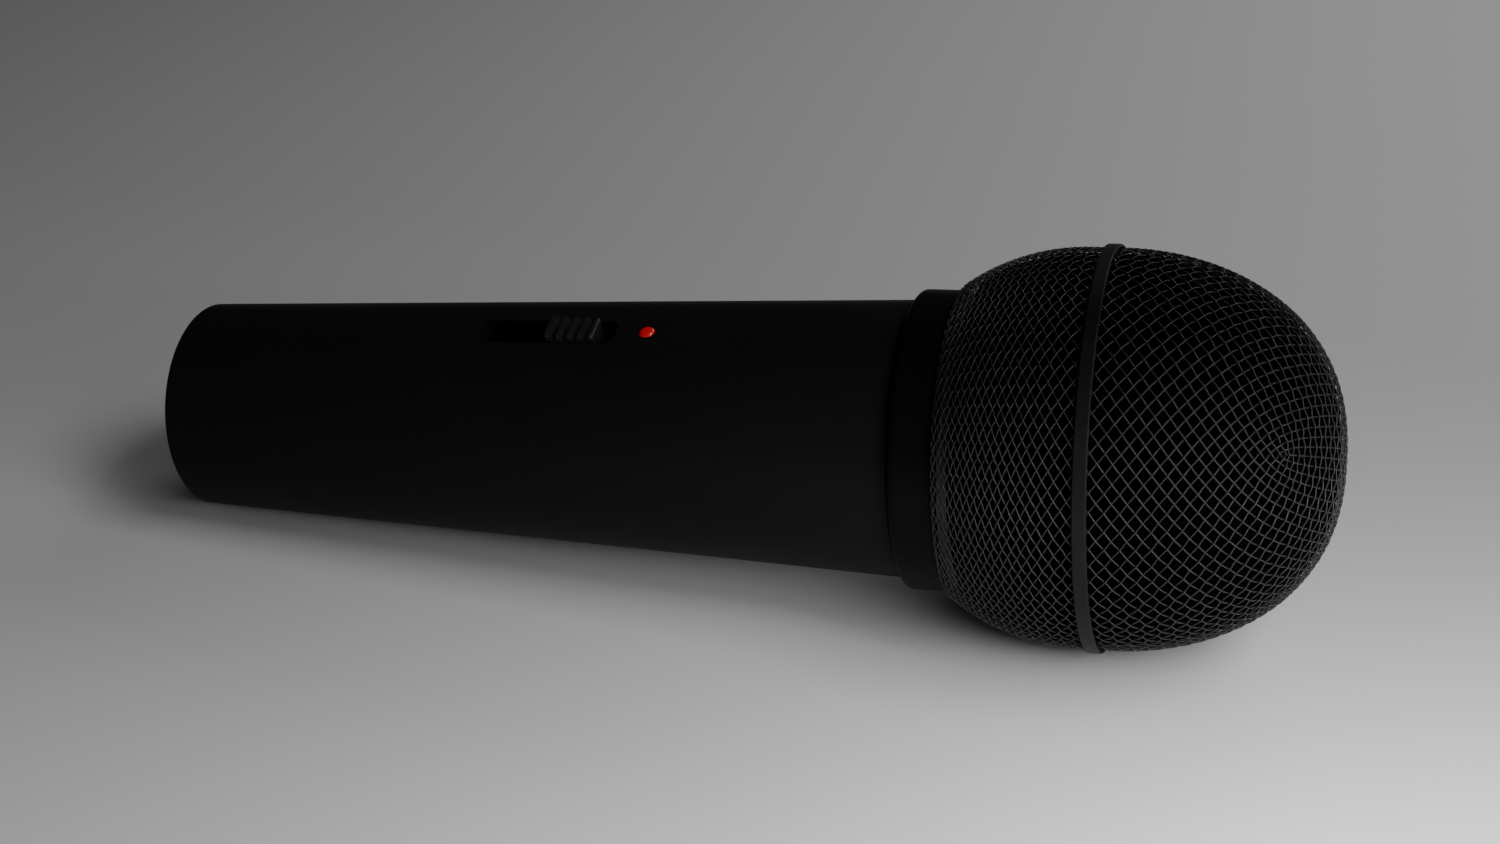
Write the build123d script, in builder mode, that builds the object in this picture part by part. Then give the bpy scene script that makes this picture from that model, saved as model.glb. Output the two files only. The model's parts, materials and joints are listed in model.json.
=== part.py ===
from build123d import *
import os
from math import asin, atan2, cos, degrees, hypot, radians, sin

# A handheld dynamic microphone, lying on its tail rim and on the band of its ball grille.
# Millimetres. +X runs from tail to head along the floor, +Z is up, and the origin is on the
# floor under the middle of the outline. Inside, places are given by s, the distance from the
# tail face along the microphone, and by r, the distance out from its axis.

os.makedirs("parts", exist_ok=True)

# ---- driving dimensions -------------------------------------------------------------------
# handle: a straight taper from the tail to the shoulder under the grille
TAIL_R = 14.215
TAIL_EDGE = 0.28
SHOULDER_S = 101.87
SHOULDER_R = 17.94
BORE_R = 13.0
SPIGOT_R = 15.3
SPIGOT_END = 110.5
SWITCH_ROLL = 16.6            # switch direction, degrees from straight up

# tail connector: three contacts in a recessed metal shell
SOCKET_R = 8.1
SHELL_R = 9.5
SEAT_R = 12.2                 # tail bore that holds the shell's flange
SEAT_S = 8.0
RIB_S = 11.0
RIB_R = 10.2
INSERT_S = 16.5
INSERT_END = 22.45
CONTACT_R = 1.2
CONTACT_CIRCLE = 4.76
CONTACT_ANGLES = (0, 180, 270)
CONTACT_TIP = 3.6
CONTACT_SHOULDER = 16.3       # where a contact thickens to the body that the insert holds
CONTACT_BODY_R = 1.7

# grille: threaded collar, two mesh halves, and the band between them
COLLAR_S = 101.97
COLLAR_END = 107.46
COLLAR_R = 19.33
COLLAR_EDGE = 0.9
THREAD_BORE_R = 16.3
MESH = 0.6
BALL_R = 25.3
REAR_ARC = 26.36
REAR_ARC_S = 123.25
REAR_SLOPE = 35.2             # slope of the rear mesh where it turns down to the collar, degrees
CORNER_ARC = 1.28
BAND_S = 125.33
BAND_END = 127.08
BAND_R = 25.67
BAND_EDGE = 0.2
DOME = 28.2                   # length of the front mesh past the band
DOME_POWER_S = 2.03
DOME_POWER_R = 2.357
FOAM = 3.0
FOAM_GAP = 0.3

# switch: a ribbed knob that slides in a slot in the handle
SLOT_S = 44.5
SLOT_END = 64.0
SLOT_WIDTH = 4.35
SLOT_CORNER = 1.2
SLOT_CUT = 3.0                # how far the cut starts below the handle's bore
KNOB_S = 54.6
KNOB_LENGTH = 6.9
KNOB_WIDTH = 3.85
KNOB_TOP = 17.25
KNOB_RIBS = 5
LAMP_S = 68.3
LAMP_R = 1.05

# inside
BOARD_Z = 3.0
BOARD = 1.6
WIRE_R = 0.5
CAPSULE_R = 14.3
NECK_R = 10.2
FIT = 0.05                    # gap between pieces that are seated in each other

# ---- how it lies ------------------------------------------------------------------------------
# The tail rim and the band both touch the floor, which sets the lean and the tail's height.
edge_run = (BAND_S + BAND_EDGE) - TAIL_EDGE
edge_rise = (BAND_R - BAND_EDGE) - (TAIL_R - TAIL_EDGE)
lean = atan2(edge_rise, edge_run) + asin((BAND_EDGE - TAIL_EDGE) / hypot(edge_run, edge_rise))
roll = radians(SWITCH_ROLL)
tail_height = (TAIL_R - TAIL_EDGE) * cos(lean) + TAIL_EDGE - TAIL_EDGE * sin(lean)


def dome_point(angle, inset=0.0):
    """A point (s, r) of the front mesh, from the band (0 degrees) to the tip (90)."""
    along = abs(sin(radians(angle))) ** (2 / DOME_POWER_S)
    out = max(cos(radians(angle)), 0) ** (2 / DOME_POWER_R)
    return (BAND_END + (DOME - inset) * along, (BALL_R - inset) * out)


front_reach = max(s * cos(lean) + r * sin(lean) for s, r in map(dome_point, range(91)))
tail_reach = (TAIL_R - TAIL_EDGE) * sin(lean) + TAIL_EDGE - TAIL_EDGE * cos(lean)
tail_x = -(front_reach - tail_reach) / 2

# mic is the working plane: x along the microphone, z towards the switch
mic = Plane(
    origin=(tail_x, 0, tail_height),
    x_dir=(cos(lean), 0, sin(lean)),
    z_dir=(-sin(lean) * cos(roll), -sin(roll), cos(lean) * cos(roll)),
)
mic_axis = Axis(mic.origin, mic.x_dir)


def section(s):
    """The plane across the microphone at s, with its y towards the switch."""
    return Plane(origin=mic.from_local_coords((s, 0, 0)), x_dir=mic.y_dir, z_dir=mic.x_dir)


def turned(*outline, mode=Mode.ADD):
    """Turn a straight-sided outline of (s, r) points about the microphone's axis."""
    with BuildSketch(mic) as profile:
        with BuildLine():
            Polyline(*outline, close=True)
        make_face()
    revolve(profile.sketch, axis=mic_axis, mode=mode)


def ring(s_start, s_end, r_in, r_out, mode=Mode.ADD):
    """A plain ring, or a disc where r_in is 0."""
    turned((s_start, r_in), (s_start, r_out), (s_end, r_out), (s_end, r_in), mode=mode)


def block(s_range, width, z_range, offset=0.0, mode=Mode.ADD):
    """A box along the microphone, width across it, from one height to another."""
    s_start, s_end = s_range
    low, high = z_range
    with BuildSketch(mic.offset(low)) as footprint:
        with Locations(((s_start + s_end) / 2, offset)):
            Rectangle(s_end - s_start, width)
    extrude(footprint.sketch, amount=high - low, mode=mode)


def rims(builder, radius):
    """The round edges of that radius."""
    circles = builder.edges().filter_by(GeomType.CIRCLE)
    return [edge for edge in circles if abs(edge.radius - radius) < FIT / 2]


def post(places, radius, z_range, mode=Mode.ADD):
    """Round posts, or holes, that stand towards the switch at (s, across) places."""
    low, high = z_range
    with BuildSketch(mic.offset(low)) as footprint:
        with Locations(*places):
            Circle(radius)
    extrude(footprint.sketch, amount=high - low, mode=mode)


def wire(route, radius=WIRE_R, bend=2.0):
    """A round wire through (s, across, height) points, with a tangent arc at each corner."""
    points = [mic.from_local_coords(point) for point in route]
    with BuildLine() as path:
        if len(points) > 2:
            FilletPolyline(*points, radius=bend)
        else:
            Line(*points)
    with BuildSketch(Plane(origin=path.line @ 0, z_dir=path.line % 0)) as end:
        Circle(radius)
    sweep(end.sketch, path=path.line)


# ---- handle -----------------------------------------------------------------------------------
GRUB_S = 9.5
GRUB_R = 1.25
MOUNT_SCREW_CIRCLE = 14.0
MOUNT_SCREW_R = 0.7
MOUNT_SCREWS = 3
LAMP_HOLE_R = LAMP_R + FIT
MOUNT_SCREW_HOLE = 5.5        # depth of its hole in the spigot

with BuildPart() as handle_shell:
    turned(
        (0, SEAT_R),
        (0, TAIL_R),
        (SHOULDER_S, SHOULDER_R),
        (SHOULDER_S, SPIGOT_R),
        (SPIGOT_END, SPIGOT_R),
        (SPIGOT_END, BORE_R),
        (RIB_S, BORE_R),
        (RIB_S, RIB_R),
        (SEAT_S, RIB_R),
        (SEAT_S, SEAT_R),
    )
    fillet(rims(handle_shell, TAIL_R) + rims(handle_shell, SHOULDER_R), TAIL_EDGE)
    with BuildSketch(mic.offset(BORE_R - SLOT_CUT)):
        with Locations(((SLOT_S + SLOT_END) / 2, 0)):
            RectangleRounded(SLOT_END - SLOT_S, SLOT_WIDTH, SLOT_CORNER)
    extrude(amount=SHOULDER_R - BORE_R + SLOT_CUT, mode=Mode.SUBTRACT)
    post([(LAMP_S, 0)], LAMP_HOLE_R, (BORE_R - SLOT_CUT, SHOULDER_R), mode=Mode.SUBTRACT)
    post([(GRUB_S, 0)], GRUB_R + FIT, (-SHOULDER_R, -SHELL_R), mode=Mode.SUBTRACT)
    with BuildSketch(section(SPIGOT_END)):
        with PolarLocations(MOUNT_SCREW_CIRCLE, MOUNT_SCREWS, start_angle=90):
            Circle(MOUNT_SCREW_R + FIT)
    extrude(amount=-MOUNT_SCREW_HOLE, mode=Mode.SUBTRACT)

# ---- tail connector -------------------------------------------------------------------------
FLANGE_S = 5.3
RING_FACE = 0.8
SHELL_FACE = 1.2
SHELL_END = 24.0
SHELL_LIP_R = 7.5             # lip that stops the insert
SPANNER_SLOT = 1.6

with BuildPart() as tail_ring:
    ring(RING_FACE, FLANGE_S - FIT, SHELL_R + FIT, SEAT_R - FIT)
    with BuildSketch(section(RING_FACE)):
        with PolarLocations((SHELL_R + SEAT_R) / 2, 2, start_angle=90):
            Rectangle(2 * (SEAT_R - SHELL_R), SPANNER_SLOT)
    extrude(amount=SPANNER_SLOT, mode=Mode.SUBTRACT)

with BuildPart() as connector_shell:
    turned(
        (SHELL_FACE, SOCKET_R),
        (SHELL_FACE, SHELL_R),
        (FLANGE_S, SHELL_R),
        (FLANGE_S, SEAT_R - FIT),
        (SEAT_S - FIT, SEAT_R - FIT),
        (SEAT_S - FIT, SHELL_R),
        (SHELL_END, SHELL_R),
        (SHELL_END, SHELL_LIP_R),
        (INSERT_END + FIT, SHELL_LIP_R),
        (INSERT_END + FIT, SOCKET_R),
    )

with BuildPart() as connector_insert:
    ring(INSERT_S, INSERT_END, 0, SOCKET_R - FIT)
    with BuildSketch(section(INSERT_S)):
        for angle in CONTACT_ANGLES:
            with PolarLocations(CONTACT_CIRCLE, 1, start_angle=angle):
                Circle(CONTACT_BODY_R + FIT)
    extrude(amount=INSERT_END - INSERT_S, mode=Mode.SUBTRACT)
    insert_face = connector_insert.faces().sort_by(mic_axis)[0]
    fillet(insert_face.outer_wire().edges(), 0.4)

CUP_S = 23.5
CUP_END = 27.5
CUP_DEPTH = 2.5
CUP_R = 0.95
CONTACT_ROUND = 0.7

with BuildPart() as contact_pins:
    for angle in CONTACT_ANGLES:
        with BuildSketch(section(CONTACT_TIP)):
            with PolarLocations(CONTACT_CIRCLE, 1, start_angle=angle):
                Circle(CONTACT_R)
        extrude(amount=CONTACT_SHOULDER - CONTACT_TIP)
        with BuildSketch(section(CONTACT_SHOULDER)):
            with PolarLocations(CONTACT_CIRCLE, 1, start_angle=angle):
                Circle(CONTACT_BODY_R)
        extrude(amount=CUP_S - CONTACT_SHOULDER)
    tips = contact_pins.edges().group_by(mic_axis)[0]
    fillet(tips, CONTACT_ROUND)
    for angle in CONTACT_ANGLES:
        with BuildSketch(section(CUP_S)):
            with PolarLocations(CONTACT_CIRCLE, 1, start_angle=angle):
                Circle(CUP_R)
        extrude(amount=CUP_END - CUP_S)
        with BuildSketch(section(CUP_END)):
            with PolarLocations(CONTACT_CIRCLE, 1, start_angle=angle):
                Circle(WIRE_R + FIT)
        extrude(amount=-CUP_DEPTH, mode=Mode.SUBTRACT)

GRUB_FACE = -14.25
HEX_R = 0.72
HEX_DEPTH = 1.6

with BuildPart() as grub_screw:
    post([(GRUB_S, 0)], GRUB_R, (GRUB_FACE, -SHELL_R - FIT))
    with BuildSketch(mic.offset(GRUB_FACE)):
        with Locations((GRUB_S, 0)):
            RegularPolygon(HEX_R, 6)
    extrude(amount=HEX_DEPTH, mode=Mode.SUBTRACT)

WIRE_ON_BOARD = BOARD_Z + BOARD + FIT + WIRE_R

with BuildPart() as connector_leads:
    for angle in CONTACT_ANGLES:
        across = CONTACT_CIRCLE * cos(radians(angle))
        height = CONTACT_CIRCLE * sin(radians(angle))
        wire([
            (CUP_END - CUP_DEPTH + FIT, across, height),
            (CUP_END + 1, across, height),
            (35.0, across, WIRE_ON_BOARD),
            (40.6, across, WIRE_ON_BOARD),
        ])

# ---- tray and circuit board -----------------------------------------------------------------
TRAY_S = 33.0
TRAY_END = 96.0
TRAY_Z = -10.0
TRAY_FLOOR = -8.6
TRAY_WIDTH = 15.8
HOOP = 1.6                    # width of the rings that centre the tray in the handle
HOOP_BORE_R = 9.0
CRADLE_WIDTH = 12.0
BOARD_S = 36.5
BOARD_END = 74.0
BOARD_WIDTH = 18.4
BOARD_SCREW_PLACES = [(39.3, -7.2), (39.3, 7.2), (71.5, -7.2), (71.5, 7.2)]
BOARD_SCREW_R = 0.9
CORE_S = 78.0
CORE_END = 93.0
CORE_Z = (-4.5, 2.5)

with BuildPart() as inner_tray:
    block((TRAY_S, TRAY_END), TRAY_WIDTH, (TRAY_Z, TRAY_FLOOR))
    ring(TRAY_S, TRAY_S + HOOP, HOOP_BORE_R, BORE_R - FIT)
    ring(TRAY_END - HOOP, TRAY_END, HOOP_BORE_R, BORE_R - FIT)
    post(BOARD_SCREW_PLACES, 1.7, (TRAY_FLOOR - 0.4, BOARD_Z - FIT))
    post(BOARD_SCREW_PLACES, BOARD_SCREW_R + FIT, (-4, BOARD_Z), mode=Mode.SUBTRACT)
    for cradle_s in (CORE_S, CORE_END - HOOP):
        block((cradle_s, cradle_s + HOOP), CRADLE_WIDTH, (TRAY_Z, CORE_Z[0] - FIT))

SWITCH_S = 58.0               # lever's place with the switch on, at its head end
SWITCH_TRAVEL = 7.6
CONTACT_PITCH = SWITCH_TRAVEL / 2
CONTACT_PLACES = [(SWITCH_S - step * CONTACT_PITCH, 0) for step in range(3)]
LEG_R = 0.4

with BuildPart() as circuit_board:
    with BuildSketch(mic.offset(BOARD_Z)):
        with Locations(((BOARD_S + BOARD_END) / 2, 0)):
            RectangleRounded(BOARD_END - BOARD_S, BOARD_WIDTH, 1.0)
        with Locations(*BOARD_SCREW_PLACES):
            Circle(BOARD_SCREW_R + FIT, mode=Mode.SUBTRACT)
        with Locations(*CONTACT_PLACES):
            Circle(LEG_R + FIT, mode=Mode.SUBTRACT)
    extrude(amount=BOARD)

with BuildPart() as board_screws:
    post(BOARD_SCREW_PLACES, BOARD_SCREW_R, (-2.5, BOARD_Z + BOARD + FIT))
    post(BOARD_SCREW_PLACES, 1.65, (BOARD_Z + BOARD + FIT, BOARD_Z + BOARD + 1.25))
    for place, across in BOARD_SCREW_PLACES:
        driver_slot = (place - 1.3, place + 1.3)
        block(driver_slot, 0.45, (BOARD_Z + BOARD + 0.75, 6), offset=across, mode=Mode.SUBTRACT)

# ---- slide switch -------------------------------------------------------------------------------
HOUSING_SPAN = (41.5, 66.9)
HOUSING_Z = BOARD_Z + BOARD + FIT
HOUSING_TOP = 11.15
CAVITY_Z = (5.8, 10.0)
SLIT_SPAN = (SWITCH_S - SWITCH_TRAVEL - 1.2, SWITCH_S + 1.2)
SLIT_WIDTH = 2.3
PLATE_Z = (HOUSING_TOP + FIT, 11.9)
PLATE_SCREW_PLACES = [(42.9, 0), (65.5, 0)]
PLATE_SCREW_R = 0.7

with BuildPart() as switch_housing:
    block(HOUSING_SPAN, 8.8, (HOUSING_Z, HOUSING_TOP))
    block((48.0, 61.0), 4.4, CAVITY_Z, mode=Mode.SUBTRACT)
    block(SLIT_SPAN, SLIT_WIDTH, (CAVITY_Z[1], HOUSING_TOP), mode=Mode.SUBTRACT)
    post(PLATE_SCREW_PLACES, PLATE_SCREW_R + FIT, (7.0, HOUSING_TOP), mode=Mode.SUBTRACT)
    post(CONTACT_PLACES, LEG_R + FIT, (HOUSING_Z, CAVITY_Z[0]), mode=Mode.SUBTRACT)

with BuildPart() as switch_contacts:
    for place, _ in CONTACT_PLACES:
        block((place - 1.5, place + 1.5), 3.0, (CAVITY_Z[0] + FIT, CAVITY_Z[0] + 0.35))
    post(CONTACT_PLACES, LEG_R, (BOARD_Z - 0.8, CAVITY_Z[0] + 0.1))

with BuildPart() as switch_plate:
    block(HOUSING_SPAN, 9.6, PLATE_Z)
    block(SLIT_SPAN, SLIT_WIDTH, PLATE_Z, mode=Mode.SUBTRACT)
    post(PLATE_SCREW_PLACES, PLATE_SCREW_R + FIT, PLATE_Z, mode=Mode.SUBTRACT)

with BuildPart() as plate_screws:
    post(PLATE_SCREW_PLACES, PLATE_SCREW_R, (7.3, PLATE_Z[1] + FIT))
    post(PLATE_SCREW_PLACES, 1.1, (PLATE_Z[1] + FIT, PLATE_Z[1] + 0.65))
    for place, _ in PLATE_SCREW_PLACES:
        block((place - 1.1, place + 1.1), 0.4, (PLATE_Z[1] + 0.4, 13), mode=Mode.SUBTRACT)

# The knob's top has cross ribs; the flanks of each rib slope a little.
KNOB_FLOOR = 12.25
KNOB_CORNER = 0.35
KNOB_EDGE = 0.3
FIRST_RIB = 1.0
RIB_PITCH = 1.47
GROOVE = 0.75
GROOVE_Z = 16.35
FLANK = 0.1                   # how far a rib's flank leans
LEVER_SIDE = 1.6

with BuildPart() as switch_knob:
    with BuildSketch(mic.offset(KNOB_FLOOR)):
        with Locations((KNOB_S + KNOB_LENGTH / 2, 0)):
            RectangleRounded(KNOB_LENGTH, KNOB_WIDTH, KNOB_CORNER)
    extrude(amount=KNOB_TOP - KNOB_FLOOR)
    fillet(switch_knob.edges().group_by(Axis(mic.origin, mic.z_dir))[-1], KNOB_EDGE)
    for groove in range(KNOB_RIBS - 1):
        groove_s = KNOB_S + FIRST_RIB + groove * RIB_PITCH
        with BuildSketch(Plane(mic.origin, x_dir=mic.x_dir, z_dir=-mic.y_dir)):
            with BuildLine():
                Polyline(
                    (groove_s + FLANK, GROOVE_Z),
                    (groove_s - FLANK, KNOB_TOP + FIT),
                    (groove_s + GROOVE + FLANK, KNOB_TOP + FIT),
                    (groove_s + GROOVE - FLANK, GROOVE_Z),
                    close=True,
                )
            make_face()
        extrude(amount=KNOB_WIDTH, both=True, mode=Mode.SUBTRACT)
    block((SWITCH_S - 0.85, SWITCH_S + 0.85), 1.7, (KNOB_FLOOR, 14.5), mode=Mode.SUBTRACT)

with BuildPart() as switch_lever:
    block((SWITCH_S - 0.8, SWITCH_S + 0.8), LEVER_SIDE, (8.1, 14.4))
    block((SWITCH_S - 1.6, SWITCH_S + 1.6), 3.4, (8.1, 9.3))

with BuildPart() as switch_wiper:
    block((SWITCH_S - 1.5, SWITCH_S + 1.5), 2.6, (7.75, 8.05))
    for end in (-1, 1):
        tip = SWITCH_S + end * 1.1
        block((tip - 0.4, tip + 0.4), 2.6, (6.4, 7.8))

with BuildPart() as indicator_lamp:
    post([(LAMP_S, 0)], LAMP_R, (9.0, 16.95))
    fillet(indicator_lamp.edges().group_by(Axis(mic.origin, mic.z_dir))[-1], 0.6)
    post([(LAMP_S, 0)], 1.3, (8.0, 9.0))
    post([(LAMP_S - 0.6, 0), (LAMP_S + 0.6, 0)], 0.22, (HOUSING_Z, 8.0))

# ---- transformer --------------------------------------------------------------------------------
LEG_WIDTH = 5.0
WINDOW = (80.5, 90.5)
BOBBIN_SPAN = (WINDOW[0] + 0.1, WINDOW[1] - 0.1)
FLANGE = 0.6
BOBBIN_Z = (-6.9, 4.9)
TUBE = 0.5

with BuildPart() as transformer_core:
    block((CORE_S, CORE_END), 16.0, CORE_Z)
    block(WINDOW, 3.0, CORE_Z, offset=4.0, mode=Mode.SUBTRACT)
    block(WINDOW, 3.0, CORE_Z, offset=-4.0, mode=Mode.SUBTRACT)

with BuildPart() as transformer_bobbin:
    block(BOBBIN_SPAN, LEG_WIDTH + 0.1 + 2 * TUBE, (CORE_Z[0] - 0.6, CORE_Z[1] + 0.6))
    block((BOBBIN_SPAN[0], BOBBIN_SPAN[0] + FLANGE), 10.6, BOBBIN_Z)
    block((BOBBIN_SPAN[1] - FLANGE, BOBBIN_SPAN[1]), 10.6, BOBBIN_Z)
    block(BOBBIN_SPAN, LEG_WIDTH + 0.1, (CORE_Z[0] - FIT, CORE_Z[1] + FIT), mode=Mode.SUBTRACT)

with BuildPart() as transformer_winding:
    winding_span = (BOBBIN_SPAN[0] + FLANGE + FIT, BOBBIN_SPAN[1] - FLANGE - FIT)
    block(winding_span, 10.0, (BOBBIN_Z[0] + 0.4, BOBBIN_Z[1] - 0.4))
    fillet(transformer_winding.edges().filter_by(Axis(mic.origin, mic.x_dir)), 1.5)
    inner_z = (CORE_Z[0] - 0.6 - FIT, CORE_Z[1] + 0.6 + FIT)
    block(winding_span, LEG_WIDTH + 0.2 + 2 * TUBE, inner_z, mode=Mode.SUBTRACT)

with BuildPart() as transformer_leads:
    for across in (-2.2, 2.2):
        wire([(70.5, across, WIRE_ON_BOARD + 0.05), (84.0, across, BOBBIN_Z[1] + 0.7)])

with BuildPart() as capsule_leads:
    for across in (-3.0, 3.0):
        wire([
            (85.5, across, BOBBIN_Z[1] + 0.65),
            (92.0, across, BOBBIN_Z[1] + 0.65),
            (95.3, across, 0.8),
            (97.0, across, 0.8),
        ], bend=1.5)

# ---- capsule and its rubber mount ---------------------------------------------------------
NECK_S = 97.5
NECK_FLOOR = 99.0
NECK_BORE_R = 8.8
HEAD_FLOOR = 116.4
HEAD_BORE_R = 11.75
TERMINAL_ACROSS = 3.0
TERMINAL_WIDTH = 1.6
TERMINAL_HALF = 0.25          # half its thickness
MOUNT_S = 99.5
MOUNT_END = 112.55
MOUNT_FINGERS = (101.0, 104.0, 107.0)
FINGER_GROOVE = 1.2
RETAINER_SPAN = (112.6, 113.45)
SCREW_TIP = 105.3
SCREW_HEAD = (113.5, 114.4)
SCREW_HEAD_R = 1.2
DRIVER_SLOT = (1.5, 0.35, 0.45)    # length, width and depth of each cross slot
HEAD_S = 114.9
HEAD_END = 130.6
MOUNT_FLANGE_R = 15.2
YOKE_SEAT = 124.6
CLAMP_S = 126.05

with BuildPart() as capsule_mount:
    turned(
        (MOUNT_S, NECK_R + FIT),
        (MOUNT_S, BORE_R - 0.1),
        (SPIGOT_END + FIT, BORE_R - 0.1),
        (SPIGOT_END + FIT, MOUNT_FLANGE_R),
        (MOUNT_END, MOUNT_FLANGE_R),
        (MOUNT_END, NECK_R + FIT),
    )
    for groove_s in MOUNT_FINGERS:
        ring(groove_s, groove_s + FINGER_GROOVE, BORE_R - 1, BORE_R, mode=Mode.SUBTRACT)
    with BuildSketch(section(SPIGOT_END)):
        with PolarLocations(MOUNT_SCREW_CIRCLE, MOUNT_SCREWS, start_angle=90):
            Circle(MOUNT_SCREW_R + FIT)
    extrude(amount=MOUNT_END - SPIGOT_END, mode=Mode.SUBTRACT)

with BuildPart() as mount_retainer:
    ring(*RETAINER_SPAN, NECK_R + 0.4, MOUNT_FLANGE_R)
    with BuildSketch(section(RETAINER_SPAN[0])):
        with PolarLocations(MOUNT_SCREW_CIRCLE, MOUNT_SCREWS, start_angle=90):
            Circle(MOUNT_SCREW_R + FIT)
    extrude(amount=1, mode=Mode.SUBTRACT)

with BuildPart() as retainer_screws:
    with BuildSketch(section(SCREW_TIP)):
        with PolarLocations(MOUNT_SCREW_CIRCLE, MOUNT_SCREWS, start_angle=90):
            Circle(MOUNT_SCREW_R)
    extrude(amount=SCREW_HEAD[0] - SCREW_TIP)
    with BuildSketch(section(SCREW_HEAD[0])):
        with PolarLocations(MOUNT_SCREW_CIRCLE, MOUNT_SCREWS, start_angle=90):
            Circle(SCREW_HEAD_R)
    extrude(amount=SCREW_HEAD[1] - SCREW_HEAD[0])
    fillet(retainer_screws.edges().group_by(mic_axis)[-1], 0.25)
    slot_length, slot_width, slot_depth = DRIVER_SLOT
    with BuildSketch(section(SCREW_HEAD[1])):
        with PolarLocations(MOUNT_SCREW_CIRCLE, MOUNT_SCREWS, start_angle=90):
            Rectangle(slot_length, slot_width)
            Rectangle(slot_width, slot_length)
    extrude(amount=-slot_depth, mode=Mode.SUBTRACT)

with BuildPart() as capsule_housing:
    turned(
        (NECK_S, 0),
        (NECK_S, NECK_R),
        (HEAD_S, NECK_R),
        (HEAD_S, CAPSULE_R),
        (HEAD_END, CAPSULE_R),
        (HEAD_END, BORE_R),
        (YOKE_SEAT, BORE_R),
        (YOKE_SEAT, HEAD_BORE_R),
        (HEAD_FLOOR, HEAD_BORE_R),
        (HEAD_FLOOR, NECK_BORE_R),
        (NECK_FLOOR, NECK_BORE_R),
        (NECK_FLOOR, 0),
    )
    slit = TERMINAL_HALF + FIT
    for across in (TERMINAL_ACROSS, -TERMINAL_ACROSS):
        slit_span = (NECK_S, NECK_FLOOR)
        block(slit_span, TERMINAL_WIDTH + 2 * FIT, (-slit, slit), across, mode=Mode.SUBTRACT)

with BuildPart() as capsule_terminals:
    for across in (TERMINAL_ACROSS, -TERMINAL_ACROSS):
        block((95.4, 100.5), TERMINAL_WIDTH, (-TERMINAL_HALF, TERMINAL_HALF), across)

with BuildPart() as capsule_yoke:
    turned(
        (116.6, 0),
        (116.6, 11.65),
        (YOKE_SEAT + FIT, 11.65),
        (YOKE_SEAT + FIT, BORE_R - FIT),
        (126.0, BORE_R - FIT),
        (126.0, 9.3),
        (118.0, 9.3),
        (118.0, 0),
    )

with BuildPart() as capsule_magnet:
    ring(118.05, 123.4, 0, 6.6)

with BuildPart() as capsule_top_plate:
    ring(123.45, 126.0, 0, 7.9)

with BuildPart() as voice_coil:
    ring(122.2, 127.6, 8.35, 8.85)

# The diaphragm is one film: a dome over the coil and a rolled surround out to its rim.
FILM_S = 127.65
FILM = 0.25
FILM_R = 12.0
ROLL_R = 8.9
ROLL_RISE = 0.9
DOME_R = 8.3
DOME_RISE = 2.0


def film_line(s):
    """One face of the film, from its rim to the middle of its dome."""
    ThreePointArc((s, FILM_R), (s + ROLL_RISE, (FILM_R + ROLL_R) / 2), (s, ROLL_R))
    Line((s, ROLL_R), (s, DOME_R))
    TangentArc((s + DOME_RISE, 0), (s, DOME_R), tangent=(0, 1))


with BuildPart() as diaphragm:
    with BuildSketch(mic):
        with BuildLine():
            film_line(FILM_S)
            film_line(FILM_S + FILM)
            Line((FILM_S, FILM_R), (FILM_S + FILM, FILM_R))
            Line((FILM_S + DOME_RISE, 0), (FILM_S + FILM + DOME_RISE, 0))
        make_face()
    revolve(axis=mic_axis)

with BuildPart() as diaphragm_clamp:
    ring(CLAMP_S, 129.4, 12.35, BORE_R - FIT)

with BuildPart() as front_screen:
    ring(HEAD_END + FIT, HEAD_END + 0.4, 0, CAPSULE_R - 0.1)

COVER_S = HEAD_END + 0.45
COVER_END = 132.6
COVER_R = 15.1

with BuildPart() as front_cover:
    turned(
        (120.5, CAPSULE_R + FIT),
        (120.5, COVER_R),
        (COVER_END, COVER_R),
        (COVER_END, 0),
        (COVER_S, 0),
        (COVER_S, CAPSULE_R + FIT),
    )
    fillet(front_cover.edges().group_by(mic_axis)[-1], 0.9)
    with BuildSketch(section(COVER_S)):
        Circle(1.5)
        with PolarLocations(5.2, 6):
            Circle(1.35)
        with PolarLocations(10.4, 12, start_angle=15):
            Circle(1.35)
    extrude(amount=COVER_END - COVER_S, mode=Mode.SUBTRACT)

# ---- grille -------------------------------------------------------------------------------------
THREAD_R = 16.0               # crest of the thread on the spigot, which the rings slip over
RING_BORE_R = THREAD_R + 0.1
RING_OUT_R = 17.5
COUNTERBORE_R = 17.75
COUNTERBORE_END = 103.4
SKIRT_R = 17.6
SKIRT_END = 109.6

with BuildPart() as thread_seal:
    ring(SHOULDER_S + FIT, 102.7, RING_BORE_R, RING_OUT_R)

with BuildPart() as slip_washer:
    ring(102.75, COUNTERBORE_END - FIT, RING_BORE_R, RING_OUT_R)

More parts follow.
